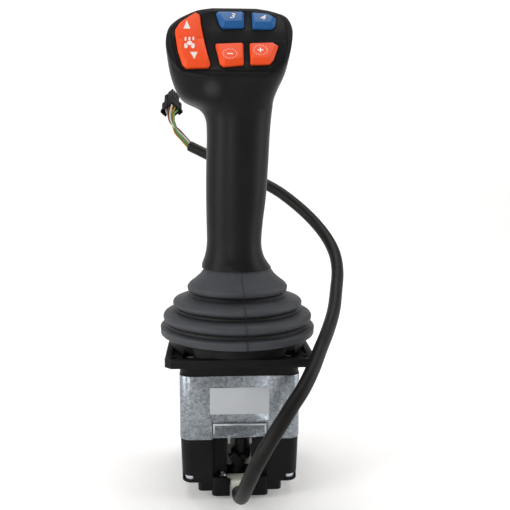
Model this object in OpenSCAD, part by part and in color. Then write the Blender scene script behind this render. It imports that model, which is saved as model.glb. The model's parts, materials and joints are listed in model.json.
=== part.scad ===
// Industrial joystick: a shaped grip with five keys on a sprung two-axis gimbal, under a rubber boot.
// Origin at the centre of the flange's top face, +Z up the lever, keys and lead at the front (-Y).

/* [Flange] */
// Width of the square mounting flange
flange_w = 92; // [91:1:96]
// Thickness of the flange
flange_t = 5; // [4:0.5:6]
// Distance between neighbouring mounting holes
mount_pitch = 79; // [78:0.5:80]
// Diameter of a mounting hole
mount_d = 4.5; // [4:0.1:5]
// Distance between neighbouring tie bolts
tie_pitch = 61.4; // [60.6:0.2:61.8]

/* [Housing] */
// Width of the metal housing
housing_w = 75.6; // [75:0.2:77]
// Corner radius of the metal housing
housing_r = 7.3; // [7:0.1:8]
// Depth of the housing's top below the flange's top face
housing_top = 12.8; // [12.4:0.2:13]
// Depth of the seam between the metal housing and the base
seam_depth = 53.8; // [53.4:0.2:54.2]
// Depth of the base's corners
corner_depth = 82.6; // [82:0.2:84]
// Depth of the base's nose
nose_depth = 91.2; // [91:0.2:92]

/* [Gimbal] */
// Depth of the pivot below the flange's top face
pivot_depth = 20; // [20:0.5:20.5]
// Radius of the axles and the cross pin
axle_r = 3; // [2.8:0.1:3]
// Radial clearance of the running fits
run_gap = 0.05; // [0.03:0.01:0.08]

/* [Boot] */
// Outer radius of the boot's ring
boot_ring_r = 51.1; // [50:0.1:52]
// Height of the underside of the boot's ring
boot_z = 6.8; // [6.6:0.1:7]
// Wall thickness of the boot
boot_t = 1.8; // [1.5:0.1:2]

/* [Grip] */
// Wall thickness of the grip's shells
grip_wall = 3; // [2.6:0.2:3.2]
// Lean of the key face from the vertical, in degrees
face_lean = 30; // [29:1:31]
// Travel of a push key
key_travel = 1.2; // [1:0.1:1.4]

/* [Lead] */
// Diameter of the lead
lead_d = 8.6; // [8:0.1:9]

/* [Hidden] */

tie_at = tie_pitch / 2;
mount_at = mount_pitch / 2;
tie_r = 2;
collar_w = housing_w - 1;
field_drop = 1.2;
border_w = 4;
spigot_r = 43;
spigot_top = 10.4;
throat_r = 24;
inner_w = 67.6;
frame_out = 30.2;
frame_in = 24.3;
bush_r = 5;
opening_x = 20;
opening_y = 15;
tail_r = 3.5;
clamp_top = -81.4;
slot_gap = 0.55;
shaft_r = 5;
face_y = -26;
face_z = 171.8;
bezel_t = 3;
key_gap = 0.4;
board_z = -11;
switch_h = 4.7;
lead_r = lead_d / 2;
black = "#1d1d1e";
zinc = "#b4b8bc";
steel = "#c9ccd0";
orange = "#f05a2d";
blue = "#2f6299";

// Points of the lead's route, from the clamp to the wires
LEAD = [[-1, -37, -89.5], [-1, -50, -85], [0, -64, -77], [2, -76, -64], [6, -83, -50], [11, -85, -39],
    [16, -84, -31], [22, -81, -23], [28, -76, -16], [34, -70, -10], [41, -60, -2], [48, -46, 6],
    [56, -28, 13], [63, -11, 22], [68, 6, 32], [72, 22, 44], [72, 38, 56], [66, 54, 69], [54, 69, 83],
    [37, 82, 97], [19, 92, 107], [0, 100, 117], [-20, 108, 127], [-34, 114, 134]];
WIRES = [[-34, 114, 134], [-39.6, 113.5, 140.4], [-44.6, 112, 146.2], [-47.6, 110.8, 153.4],
    [-48.8, 112.4, 160.2], [-48.9, 117.8, 165]];
PLUG = [-48.8, 115.2, 162.9];
INNER = [[1, -27, -56], [1, -25.4, -64], [0.8, -24, -72], [-1.6, -22.8, -80], [-2, -24.4, -87],
    [-1, -30, -89.5], [-1, -37, -89.5]];

// Sections of the grip: height, left, right, front, back
GRIP = [[50, -23.6, 22.4, -22.9, 22.9], [53, -23.3, 20.2, -22.2, 21.8], [58, -21.5, 17.4, -20.6, 20],
    [66, -20.2, 15.9, -19.4, 19.2], [80, -20.3, 16.8, -19.4, 20], [96, -20.5, 18.7, -19.8, 21.2],
    [116, -20.3, 20, -20.4, 22.4], [136, -19.8, 21, -20.8, 23.2], [146, -20.6, 21.8, -21.6, 24],
    [152, -24.6, 22.4, -22.8, 24.8], [157, -34.6, 22.9, -23.8, 25.4], [163, -39, 24.9, -25.2, 26.2],
    [172, -42.2, 29, -30, 27], [182, -43.9, 31.7, -33, 27], [191, -44.7, 33.3, -34, 26],
    [200, -43, 34, -33, 23], [206, -38, 32.4, -28, 20], [210, -31.7, 29.2, -21, 16],
    [213, -25, 21, -15, 12], [214.6, -16, 12, -9, 8]];

// ---- helpers

function lerp(a, b, t) = a + (b - a) * t;

// A point of the smooth curve through the points p, at position s along them
function smooth(p, s) =
    let (n = len(p) - 1, i = min(floor(s), n - 1), t = s - i)
    let (a = i > 0 ? p[i - 1] : 2 * p[0] - p[1], b = p[i], c = p[i + 1])
    let (d = i + 2 <= n ? p[i + 2] : 2 * p[n] - p[n - 1])
    (2 * b + (c - a) * t + (2 * a - 5 * b + 4 * c - d) * t * t + (3 * b - 3 * c + d - a) * t * t * t) / 2;

function unit(v) = v / norm(v);

// Directions of a path at each of its points
function headings(p) = [for (i = [0 : len(p) - 1])
    unit(p[min(i + 1, len(p) - 1)] - p[max(i - 1, 0)])];

// Sideways directions carried along a path with no twist
function sides(h, i = 0, last = [1, 0, 0]) =
    i >= len(h) ? [] :
    let (s = unit(last - (last * h[i]) * h[i]))
    concat([s], sides(h, i + 1, s));

// A solid from closed loops of equal length, joined in turn and capped
module loft(loops) {
    n = len(loops[0]);
    m = len(loops);
    skin = [for (j = [0 : m - 2], i = [0 : n - 1])
        [j * n + i, j * n + (i + 1) % n, (j + 1) * n + (i + 1) % n, (j + 1) * n + i]];
    caps = [[for (i = [n - 1 : -1 : 0]) i], [for (i = [0 : n - 1]) (m - 1) * n + i]];
    polyhedron([for (l = loops) each l], concat([for (f = skin) [f[3], f[2], f[1], f[0]]],
        [for (c = caps) [for (k = [len(c) - 1 : -1 : 0]) c[k]]]), convexity = 8);
}

// A round bar along the points p
module tube(p, r, n = 8) {
    h = headings(p);
    s = sides(h, 0, abs(h[0].x) > 0.9 ? [0, 0, 1] : [1, 0, 0]);
    loft([for (i = [0 : len(p) - 1])
        let (u = s[i], v = cross(h[i], s[i]))
        [for (k = [0 : n - 1]) p[i] + r * (cos(k * 360 / n) * u + sin(k * 360 / n) * v)]]);
}

module rounded_square(w, d, r) {
    square([w, d - 2 * r], center = true);
    square([w - 2 * r, d], center = true);
    for (x = [-1, 1], y = [-1, 1])
        translate([x * (w / 2 - r), y * (d / 2 - r)]) circle(r, $fn = 48);
}

module chamfered_square(w, c) {
    h = w / 2;
    polygon([[-h + c, -h], [h - c, -h], [h, -h + c], [h, h - c],
        [h - c, h], [-h + c, h], [-h, h - c], [-h, -h + c]]);
}

module at_corners(p) {
    for (x = [-1, 1], y = [-1, 1]) translate([x * p, y * p, 0]) children();
}

module span(z0, z1) {
    translate([0, 0, min(z0, z1)]) linear_extrude(abs(z1 - z0)) children();
}

// A rod along Y
module y_rod(r, x, z, y0, y1) {
    translate([x, y0, z]) rotate([-90, 0, 0]) cylinder(r = r, h = y1 - y0, $fn = 32);
}

module rod(r, z0, z1) {
    translate([0, 0, z0]) cylinder(r = r, h = z1 - z0, $fn = 48);
}

// Turns +Z to +X, +Y, -X or -Y at the pivot's height
module along(side) {
    translate([0, 0, -pivot_depth]) rotate([0, 90, side * 90]) children();
}

// Places children on the key face: X across, Y up the face, Z out of it
module on_face() {
    translate([0, face_y, face_z]) rotate([90 - face_lean, 0, 0]) children();
}

// ---- base

module flange_plate() color(black) difference() {
    union() {
        difference() {
            span(-flange_t, 0) chamfered_square(flange_w, 4);
            difference() {
                span(-field_drop, 1) chamfered_square(flange_w - 2 * border_w, 5);
                at_corners(mount_at) rod(5, -flange_t, 2);
            }
        }
        span(-housing_top, -flange_t + 1) rounded_square(collar_w, collar_w, 8);
        rod(spigot_r, -2, spigot_top);
        rod(spigot_r + 2.2, -2, boot_z);
    }
    rod(throat_r, -housing_top - 1, 1);
    rod(spigot_r - 3.5, -field_drop, spigot_top + 1);
    at_corners(tie_at) {
        rod(tie_r + 0.3, -housing_top - 1, 1);
        rod(5, -8, 1);
    }
    at_corners(mount_at) rod(mount_d / 2, -flange_t - 1, 1);
}

module housing_body() color(zinc) {
    front = -housing_w / 2;
    difference() {
        span(-seam_depth, -housing_top) rounded_square(housing_w, housing_w, housing_r);
        difference() {
            span(-seam_depth - 1, -housing_top + 1) rounded_square(inner_w, inner_w, 4);
            at_corners(tie_at) rod(6, -seam_depth - 2, -27);
        }
        translate([-18, front - 1, -42]) cube([36, 1.7, 42]);
        // pocket under the strip, with a bevelled top
        translate([-17.3, 0, 0]) rotate([90, 0, 90]) linear_extrude(34.4)
            polygon([[front - 1, -41], [front + 0.7, -42], [front + 2.2, -45.6],
                [front + 2.2, -seam_depth - 1], [front - 1, -seam_depth - 1]]);
        at_corners(tie_at) rod(tie_r + 0.3, -seam_depth - 1, 0);
    }
    for (x = [-7.6, 5.8]) translate([x, front + 2.2, -57.6]) cube([1.7, 1.6, 57.6 - seam_depth + 2]);
}

// Outline of the base's steps, by width at each depth
module base_cover() color(black) {
    half = housing_w / 2 - 0.4;
    // ribs that carry the control board
    for (x = [-1, 1]) translate([x * 23 - 1, -10, -80.5]) cube([2, 34, 18.5]);
    difference() {
        union() {
            // drafted walls down to the corners, then the middle and the nose
            hull() {
                span(-seam_depth - 0.2, -seam_depth) rounded_square(2 * half, 2 * half, 7.2);
                span(-corner_depth, -corner_depth + 2)
                    rounded_square(2 * half - 1.8, 2 * half - 1.8, 6.5);
            }
            span(-88.4, -70) rounded_square(53, 2 * half - 2.4, 3);
            translate([0, -7, 0]) span(-nose_depth, -70) rounded_square(35.6, 2 * half - 12.6, 3);
        }
        span(-80, -seam_depth + 1) difference() {
            rounded_square(70, 70, 4);
            for (x = [-1, 1], y = [-1, 1]) translate([x * tie_at, y * tie_at]) circle(5.6, $fn = 48);
            translate([-20, -36]) square([40, 5.2]);
        }
        // front recess, open at the top
        translate([-17.3, -40, -79]) cube([34.6, 7, 26]);
        // window to the cable's way in
        translate([-8.2, -40, -80.4]) cube([15.6, 22.4, 30]);
        // well of the clamp, and the notch that the lead leaves by
        translate([-14.6, -35.6, -85]) cube([29, 18, 8]);
        translate([-6.4, -45, -nose_depth - 1]) cube([13, 27.4, 14.2]);
        at_corners(tie_at) {
            rod(tie_r + 0.3, -nose_depth - 1, 0);
            rod(4.4, -81.4, -78);
        }
        // side niches that show the nuts
        for (x = [-1, 1], y = [-1, 1])
            translate([x * 38, y * 38, -79.7]) cube([17.6, 17.6, 3.4], center = true);
        translate([-11, -30, -nose_depth - 1]) cylinder(r = 1.6, h = 20, $fn = 32);
    }
}

module rear_plate() color("#7a7c72") translate([-15, -17.6, -80]) cube([30, 2, 80 - seam_depth]);

module clamp_plate() color("#85877c") difference() {
    union() {
        translate([-14.2, -35.4, -85]) cube([21, 7.4, clamp_top + 85]);
        translate([-5.8, -37.2, -87.2]) cube([11.8, 4, clamp_top + 87.2]);
    }
    y_rod(4.4, -1, -89.5, -40, -20);
    translate([-11, -30, -90]) cylinder(r = 1.6, h = 10, $fn = 32);
}

module clamp_screw() color(steel) translate([-11, -30, 0]) {
    rod(1.5, -nose_depth - 1.4, clamp_top);
    translate([0, 0, clamp_top]) rotate_extrude($fn = 32)
        polygon([[0, 0], [2.9, 0], [2.9, 0.9], [2.2, 1.7], [1.2, 2], [1.2, 1.2], [0, 1.2]]);
}

module tie_bolts() color(steel) at_corners(tie_at) {
    rod(tie_r, -81.2, -8);
    difference() {
        rod(3.5, -8, -4);
        translate([0, 0, -6]) cylinder(r = 1.7, h = 3, $fn = 6);
    }
}

module tie_nuts() color(steel) at_corners(tie_at) difference() {
    translate([0, 0, -81.2]) cylinder(r = 4.2, h = 3.2, $fn = 48);
    rod(tie_r, -82, -77);
}

module bearing_frame() color("#3a3c3e") difference() {
    intersection() {
        union() {
            span(-27, -housing_top) rounded_square(2 * frame_out, 2 * frame_out, 3);
            at_corners(tie_at) rod(6, -27, -housing_top);
        }
        span(-28, 0) rounded_square(inner_w - 0.1, inner_w - 0.1, 4);
    }
    span(-28, 0) rounded_square(2 * frame_in, 2 * frame_in, 3);
    for (s = [0 : 3]) along(s) rod(bush_r, frame_in - 1, frame_out + 1);
    at_corners(tie_at) rod(tie_r + 0.3, -28, 0);
}

module bearing_bushes() color("#c8a040") for (s = [0 : 3]) along(s) difference() {
    union() {
        rod(bush_r, frame_in, frame_out);
        rod(bush_r + 1.2, frame_in - 0.7, frame_in);
    }
    rod(axle_r + run_gap, frame_in - 2, frame_out + 1);
}

// A circuit board on the housing's inner wall, with its sensor facing the magnet
module sensor_board() color("#1f6b3a") {
    translate([-6.5, -7, inner_w / 2 - 1.2]) cube([13, 14, 1.2]);
    translate([-2.5, -2, inner_w / 2 - 2]) cube([5, 4, 0.8]);
}

module sensor_board_x() along(0) sensor_board();

module sensor_board_y() along(1) sensor_board();

module control_board() color("#1f6b3a") {
    translate([-25, -14, -62]) cube([50, 42, 1.6]);
    translate([-12, 4, -64.2]) cube([12, 12, 2.2]);
    translate([8, 6, -66]) cube([8, 10, 4]);
    for (x = [-1, 1]) translate([x * 18 - 3, 18, -61]) cube([6, 4, 4]);
}

module inner_cable() color("#2a2826") tube([for (s = [0 : 0.5 : len(INNER) - 1]) smooth(INNER, s)], 4, 10);

module cable_tie() color(black) translate([0.9, -24.6, -68.4]) rotate([10, 0, 0]) {
    difference() {
        rod(6, -1.8, 1.8);
        rod(4.2, -2, 2);
    }
    translate([-3.8, -5.8, 0]) rotate([0, -35, 0]) cube([5.4, 3.6, 7.4], center = true);
}

// ---- boot

// Outer profile of the boot from its ring to its neck: radius and height
BOOT = [[boot_ring_r, boot_z], [boot_ring_r + 0.2, boot_z + 4.6], [48.2, 12.6], [47.8, 14.4], [49.3, 16.2],
    [49.5, 18.6], [48.2, 20.4], [41.8, 22.2], [41.4, 23.6], [42.8, 25.2], [43.1, 27.4], [41.8, 29.2],
    [32.8, 31.8], [32, 33.4], [33.1, 35.2], [33.3, 37.6], [32, 39.6], [28, 42.6], [24.6, 45.6],
    [21.8, 49.7]];

module boot() color("#3f4249") rotate_extrude($fn = 96) difference() {
    polygon(concat(BOOT, [[8, 49.7], [8, boot_z]]));
    polygon(concat([[0, boot_z - 1], [spigot_r + 0.05, boot_z - 1], [spigot_r + 0.05, 12.2]],
        [for (i = [3 : len(BOOT) - 1]) BOOT[i] - [boot_t, boot_t * 0.6]], [[0, 49.7 - boot_t]]));
}

// ---- gimbal

// A torsion spring round an axle: coil between two distances from the pivot, with two straight legs
module torsion_spring(d0, d1, turns) {
    wire = 0.55;
    coil = axle_r + wire + 0.2;
    path = concat([[coil, -5, d0 + wire]],
        [for (a = [0 : 30 : turns * 360])
            [coil * cos(a), coil * sin(a), lerp(d0 + wire, d1 - wire, a / (turns * 360))]],
        [[coil, 5, d1 - wire]]);
    color(steel) tube(path, wire, 6);
}

module gimbal_springs() for (s = [0, 2]) along(s) torsion_spring(17.5, frame_in - 0.7, 3);

module bail_springs() for (s = [1, 3]) along(s) torsion_spring(19.6, frame_in - 0.7, 2);

module gimbal_frame() color("#8d9196") difference() {
    span(-pivot_depth - 6, -pivot_depth + 6) difference() {
        rounded_square(35, 26, 3);
        square([opening_x, opening_y], center = true);
    }
    for (s = [0, 2]) along(s) rod(axle_r, 8, 19);
    for (s = [1, 3]) along(s) rod(axle_r + run_gap, 5, 15);
}

module gimbal_axles() color(steel) for (s = [0, 2]) along(s) rod(axle_r, opening_x / 2 + 0.4, 29.5);

module gimbal_magnet() color("#55585c") along(0) rod(axle_r - 0.2, 29.5, 31);

// Stirrup whose slot guides the lever's tail
module bail() color("#9aa0a6") difference() {
    union() {
        for (y = [-1, 1]) {
            translate([-6, y * 17.6 - 2, -46]) cube([12, 4, 26]);
            translate([0, y * 17.6, -pivot_depth]) rotate([90, 0, 0])
                cylinder(r = 6, h = 4, center = true, $fn = 48);
        }
        translate([0, 0, -46]) linear_extrude(4) rounded_square(17, 39.2, 2);
    }
    for (s = [1, 3]) along(s) rod(axle_r, 14, 22);
    span(-47, -41) rounded_square(2 * (tail_r + slot_gap), 26, tail_r + slot_gap - 0.1);
}

module bail_axles() color(steel) for (s = [1, 3]) along(s) rod(axle_r, 15.8, 29.5);

module bail_magnet() color("#55585c") along(1) rod(axle_r - 0.2, 29.5, 31);

// ---- lever

module lever_shaft() color(steel) difference() {
    union() {
        rod(tail_r, -47, -26);
        span(-27, -13) rounded_square(13, 14.4, 1.5);
        rod(shaft_r, -14, 100);
    }
    for (s = [1, 3]) along(s) rod(axle_r, -1, 8);
}

module cross_pin() color("#d5d8dc") along(1) rod(axle_r, -12.8, 12.8);

module lock_nut() color(steel) difference() {
    translate([0, 0, 54]) cylinder(d = 18, h = 7, $fn = 6);
    rod(shaft_r, 50, 65);
}

// Moulded core that keys the shells to the shaft
module grip_core() color("#2c2d2f") difference() {
    union() {
        rod(10.5, 61, 112);
        for (z = [64, 84, 104]) span(z, z + 3) {
            translate([-1.4, 0]) square([27, 5], center = true);
            square([5, 30], center = true);
        }
    }
    rod(shaft_r, 60, 113);
    for (z = NECK_SCREWS) y_rod(1.3, 0, z, 7, 11);
}

// One closed section of the grip at position s along GRIP, pulled in by t
function grip_section(s, t, n) =
    let (g = smooth(GRIP, s), head = max(0, min(1, (g[0] - 140) / 40)))
    let (front = max(0, min(1, (g[0] - 150) / 22)))
    [for (k = [0 : n - 1])
        let (a = k * 360 / n, c = cos(a), q = sin(a))
        let (e = 2 / (q < 0 ? lerp(2.1, 4, front) : lerp(2.1, 2.7, head)))
        [(c > 0 ? g[2] - t : -g[1] - t) * sign(c) * pow(abs(c), e),
            (q > 0 ? g[4] - t : -g[3] - t) * sign(q) * pow(abs(q), e), g[0]]];

module grip_form(t, n, last, step) {
    loft([for (s = [0 : step : last]) grip_section(s, t, n)]);
}

BEZEL = [[-34, 0], [20, 0], [26.8, 7.5], [30.2, 22], [29.6, 38], [26.2, 43], [20.5, 45.6], [10, 47.6],
    [-12, 48.2], [-26, 46.4], [-37.4, 37.4], [-41, 30.4], [-40.2, 20], [-36.6, 4]];

module bezel_outline(grow = 0) offset(r = 3 + grow, $fn = 32) offset(delta = -3) polygon(BEZEL);

// Both shells together: outer form less the hollow, the key face and its seat
module grip_shells() difference() {
    grip_form(0, 32, len(GRIP) - 1, 0.5);
    difference() {
        grip_form(grip_wall, 24, len(GRIP) - 3, 1);
        translate([-60, -60, 40]) cube([120, 120, 10 + grip_wall]);
    }
    rod(17.4, 49, 50 + grip_wall + 1);
    on_face() {
        translate([-70, -30, 0]) cube([140, 100, 60]);
        span(-bezel_t, 1) bezel_outline(0.15);
        span(-bezel_t - 3, 1) bezel_outline(-1.1);
    }
}

// Screws from the back: two into the core in the neck, two into the front shell's posts in the head
NECK_SCREWS = [75, 96];
HEAD_SCREWS = [[-20, 164], [12, 164]];

module split_box(front) translate([-80, front ? -80 : 3, 40]) cube([160, front ? 83 : 80, 190]);

module grip_front_shell() color(black) {
    intersection() {
        grip_shells();
        split_box(true);
    }
    for (p = HEAD_SCREWS) difference() {
        y_rod(3.4, p.x, p.y, -23, 3);
        y_rod(1.3, p.x, p.y, -8, 4);
    }
}

module grip_rear_shell() color(black) difference() {
    union() {
        intersection() {
            grip_shells();
            split_box(false);
        }
        for (p = HEAD_SCREWS) y_rod(4.6, p.x, p.y, 3, 22);
    }
    for (p = HEAD_SCREWS) {
        y_rod(1.7, p.x, p.y, 2, 20);
        y_rod(3.2, p.x, p.y, 18, 30);
    }
    for (z = NECK_SCREWS) {
        y_rod(1.7, 0, z, 12, 20);
        y_rod(3.2, 0, z, 18.6, 26);
    }
}

module grip_screws() color(steel) {
    for (p = HEAD_SCREWS) {
        y_rod(3, p.x, p.y, 18, 19.8);
        y_rod(1.3, p.x, p.y, -6, 18);
    }
    for (z = NECK_SCREWS) {
        y_rod(3, 0, z, 18.6, 20.2);
        y_rod(1.3, 0, z, 8, 18.6);
    }
}

// ---- keys

ROCKER = [[-26, 44], [-23.4, 42], [-22.8, 35], [-20.7, 21], [-17.2, 4], [-18.4, 2.2], [-31.6, 1.6],
    [-34, 4.2], [-36.8, 14.8], [-38.6, 27.6], [-38.6, 30.4], [-36.2, 35.4]];
UPPER_LEFT = [[-13.5, 43.4], [-11.6, 45.4], [2.6, 45.6], [4, 44], [3.8, 32.7], [-9.5, 32.2], [-11.2, 34.4]];
UPPER_RIGHT = [[8.8, 45], [19.6, 43.4], [23.6, 40.4], [24, 38.6], [22.4, 33], [20.6, 31.9], [8.9, 32]];
MINUS = [[-14.3, 19.8], [2, 21], [2.9, 19.7], [2.8, 4.5], [-9.3, 2.9], [-11.6, 5]];
PLUS = [[6.7, 20.5], [20.8, 21.4], [24.2, 18.5], [20.8, 8.2], [18.3, 5], [6.8, 4.6]];
POSTS = [[-17.5, 26.5], [5.6, 26.5], [26.4, 26.5]];
SWITCHES = [[-28.5, 9], [-30, 36], [-4, 12], [14, 12], [-4, 39], [15, 39]];

module key_bezel() color("#222223") on_face() {
    difference() {
        span(-bezel_t, 0) bezel_outline();
        for (k = [UPPER_LEFT, UPPER_RIGHT, MINUS, PLUS])
            span(-bezel_t - 1, 1) offset(delta = key_gap) polygon(k);
        span(-bezel_t - 1, 1) offset(delta = key_gap + 0.15) polygon(ROCKER);
    }
    for (p = POSTS) translate([p.x, p.y, 0]) rod(2, board_z, -bezel_t + 1);
}

module key_board() color("#1f6b3a") on_face() difference() {
    span(board_z - 1.6, board_z) offset(delta = -7) polygon(BEZEL);
    for (p = POSTS) translate([p.x, p.y, 0]) rod(1.1, board_z - 3, board_z + 1);
}

module board_screws() color(steel) on_face() for (p = POSTS) translate([p.x, p.y, 0])
    union() {
        rod(2, board_z - 3, board_z - 1.6);
        rod(1.1, board_z - 2, board_z);
    }

module switch_bodies() color("#e8e6de") on_face() for (p = SWITCHES) translate([p.x, p.y, board_z]) {
    translate([-3, -3, 0]) cube([6, 6, 3.4]);
    rod(1.6, 3, switch_h - 0.1);
}

module rocker_bracket() color("#2c2d2f") on_face() difference() {
    union() {
        for (x = [-34.4, -23.6]) translate([x - 1, 20.2, board_z]) cube([2, 4.6, 8.6]);
        translate([-35.4, 20.2, board_z]) cube([12.8, 4.6, 1.6]);
    }
    translate([-40, 22.5, -4.2]) rotate([0, 90, 0]) cylinder(r = 1, h = 24, $fn = 32);
}

module rocker_pin() color(steel) on_face() translate([-35.4, 22.5, -4.2]) rotate([0, 90, 0])
    cylinder(r = 1, h = 12.8, $fn = 32);

// A key's cap: straight sides through the bezel, and a top that rises to a crease above its lower edge
module key_cap(outline, low, rise, facet, far) {
    y0 = min([for (p = outline) p.y]);
    y1 = max([for (p = outline) p.y]);
    intersection() {
        span(low, rise) polygon(outline);
        rotate([90, 0, 90]) linear_extrude(100, center = true)
            polygon([[y0, low], [y0, 1.2], [y0 + facet, rise], [y1, far], [y1, low]]);
    }
}

// A push key with its skirt and its stem, which ends one travel above the switch at p
module push_key(outline, p, tint) color(tint) on_face() {
    key_cap(outline, -bezel_t - 0.4, 3.2, 3.4, 1.2);
    span(-bezel_t - 1.6, -bezel_t - 0.2) offset(delta = key_gap + 0.4) polygon(outline);
    translate([p.x, p.y, 0]) rod(1.4, board_z + switch_h + key_travel, -bezel_t);
}

module upper_left_key() push_key(UPPER_LEFT, SWITCHES[4], blue);

module upper_right_key() push_key(UPPER_RIGHT, SWITCHES[5], blue);

module minus_key() push_key(MINUS, SWITCHES[2], orange);

module plus_key() push_key(PLUS, SWITCHES[3], orange);

module rocker_key() color(orange) on_face() difference() {
    union() {
        key_cap(ROCKER, -1.6, 3, 3.4, 2.4);
        translate([-33.2, 19.6, -6]) cube([8.4, 5.8, 5]);
        for (p = [SWITCHES[0], SWITCHES[1]]) translate([p.x, p.y, 0]) rod(1.4, -4.2, -1);
    }
    translate([-40, 22.5, -4.2]) rotate([0, 90, 0]) cylinder(r = 1 + run_gap, h = 24, $fn = 32);
}

// ---- lead

module lead() color("#2a2826") tube([for (s = [0 : 0.5 : len(LEAD) - 1]) smooth(LEAD, s)], lead_r, 10);

module lead_wires() color("#b98a4a") tube([for (s = [0 : 0.5 : len(WIRES) - 1]) smooth(WIRES, s)], 2.6, 8);

module connector_housing() color(black) translate(PLUG) rotate([-40, 35, 36]) difference() {
    union() {
        translate([-5.7, -6, 0]) cube([11.4, 12, 10.5]);
        translate([-5.7, -6, 9]) cube([8.4, 5.2, 11.6]);
        translate([-5.7, 0.2, 9]) cube([8.4, 3.2, 10.6]);
        translate([-4.9, -1, 9]) cube([6.8, 2, 8.6]);
        // feet beside the wires
        translate([-5.7, 5.9, -1.6]) cube([6, 1.6, 4.2]);
        translate([5.6, -6, -1.2]) cube([1.4, 4.2, 3.4]);
    }
    // hollow that the wires enter
    translate([-4.7, -5, -2]) cube([9.4, 10, 5]);
}

flange_plate();
housing_body();
base_cover();
rear_plate();
clamp_plate();
clamp_screw();
tie_bolts();
tie_nuts();
bearing_frame();
bearing_bushes();
sensor_board_x();
sensor_board_y();
control_board();
inner_cable();
cable_tie();
boot();
gimbal_springs();
bail_springs();
gimbal_frame();
gimbal_axles();
gimbal_magnet();
bail();
bail_axles();
bail_magnet();
lever_shaft();
cross_pin();
lock_nut();
grip_core();
grip_front_shell();
grip_rear_shell();
grip_screws();
key_bezel();
key_board();
board_screws();
switch_bodies();
rocker_bracket();
rocker_pin();
rocker_key();
upper_left_key();
upper_right_key();
minus_key();
plus_key();
lead();
lead_wires();
connector_housing();
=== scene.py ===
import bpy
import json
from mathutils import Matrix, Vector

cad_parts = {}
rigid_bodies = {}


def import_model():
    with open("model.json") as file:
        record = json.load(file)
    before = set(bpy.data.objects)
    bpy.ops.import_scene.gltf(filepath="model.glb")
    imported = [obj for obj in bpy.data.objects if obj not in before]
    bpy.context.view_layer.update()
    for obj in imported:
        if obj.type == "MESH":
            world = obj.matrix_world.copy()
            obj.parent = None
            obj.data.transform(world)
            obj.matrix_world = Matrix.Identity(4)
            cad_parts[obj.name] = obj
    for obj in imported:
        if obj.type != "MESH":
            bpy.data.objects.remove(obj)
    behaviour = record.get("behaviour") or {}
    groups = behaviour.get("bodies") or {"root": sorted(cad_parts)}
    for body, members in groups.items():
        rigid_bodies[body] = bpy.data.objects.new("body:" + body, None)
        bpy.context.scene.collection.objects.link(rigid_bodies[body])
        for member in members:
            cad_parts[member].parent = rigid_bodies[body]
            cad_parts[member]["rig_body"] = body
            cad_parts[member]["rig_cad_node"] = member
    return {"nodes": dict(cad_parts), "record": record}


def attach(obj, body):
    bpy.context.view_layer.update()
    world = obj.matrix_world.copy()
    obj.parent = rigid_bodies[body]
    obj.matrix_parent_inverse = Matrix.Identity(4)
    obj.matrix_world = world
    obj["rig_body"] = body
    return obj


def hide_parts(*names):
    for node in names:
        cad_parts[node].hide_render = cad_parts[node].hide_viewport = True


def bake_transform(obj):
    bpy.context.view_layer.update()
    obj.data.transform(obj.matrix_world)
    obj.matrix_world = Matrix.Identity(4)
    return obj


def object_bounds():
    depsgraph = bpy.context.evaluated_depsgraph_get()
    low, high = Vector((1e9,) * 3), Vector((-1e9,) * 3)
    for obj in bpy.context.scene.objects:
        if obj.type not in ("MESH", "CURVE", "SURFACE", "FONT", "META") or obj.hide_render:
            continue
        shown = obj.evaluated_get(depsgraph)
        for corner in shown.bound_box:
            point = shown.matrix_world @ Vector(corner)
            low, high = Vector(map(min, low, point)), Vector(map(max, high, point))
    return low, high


bl_info = {
    "name": "Industrial joystick",
    "version": (1, 0, 0),
    "blender": (4, 5, 0),
    "location": "3D View > Sidebar > Joystick",
    "description": "Dresses the joystick's frame with its grip, keys, boot, housing, lead and studio",
    "category": "Object",
}

import json
import math

import bmesh
import bpy
from bpy.props import FloatProperty, FloatVectorProperty, PointerProperty
from mathutils import Matrix, Vector

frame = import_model()
CAD_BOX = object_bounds()

MM = 0.001

# The key face: its lean in degrees, a point on it in mm, and the turn that lays a flat drawing on it
FACE_LEAN = 60
FACE_POINT = Vector((0, -26, 171.8))
FACE = Matrix.Translation(FACE_POINT * MM) @ Matrix.Rotation(math.radians(FACE_LEAN), 4, "X")
FACE_NORMAL = FACE.to_3x3() @ Vector((0, 0, 1))

# Points of the lead's route in metres, from the clamp to the wires
LEAD_ROUTE = (
    (-0.001, -0.037, -0.0895), (-0.001, -0.050, -0.085), (0, -0.064, -0.077), (0.002, -0.076, -0.064),
    (0.006, -0.083, -0.050), (0.011, -0.085, -0.039), (0.016, -0.084, -0.031), (0.022, -0.081, -0.023),
    (0.028, -0.076, -0.016), (0.034, -0.070, -0.010), (0.041, -0.060, -0.002), (0.048, -0.046, 0.006),
    (0.056, -0.028, 0.013), (0.063, -0.011, 0.022), (0.068, 0.006, 0.032), (0.072, 0.022, 0.044),
    (0.072, 0.038, 0.056), (0.066, 0.054, 0.069), (0.054, 0.069, 0.083), (0.037, 0.082, 0.097),
    (0.019, 0.092, 0.107), (0, 0.100, 0.117), (-0.020, 0.108, 0.127), (-0.034, 0.114, 0.134),
)

# Middle of the bundle of wires in metres, from the lead's end to the connector
WIRE_ROUTE = ((-0.034, 0.114, 0.134), (-0.0396, 0.1135, 0.1404), (-0.0446, 0.112, 0.1462),
              (-0.0476, 0.1108, 0.1534), (-0.0488, 0.1124, 0.1602), (-0.0489, 0.1178, 0.165))

# Place of the connector's wire face in metres, and its turns in degrees
PLUG = Vector((-0.0488, 0.1152, 0.1629))
PLUG_TURNS = ((36, "Z"), (35, "Y"), (-40, "X"))

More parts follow.
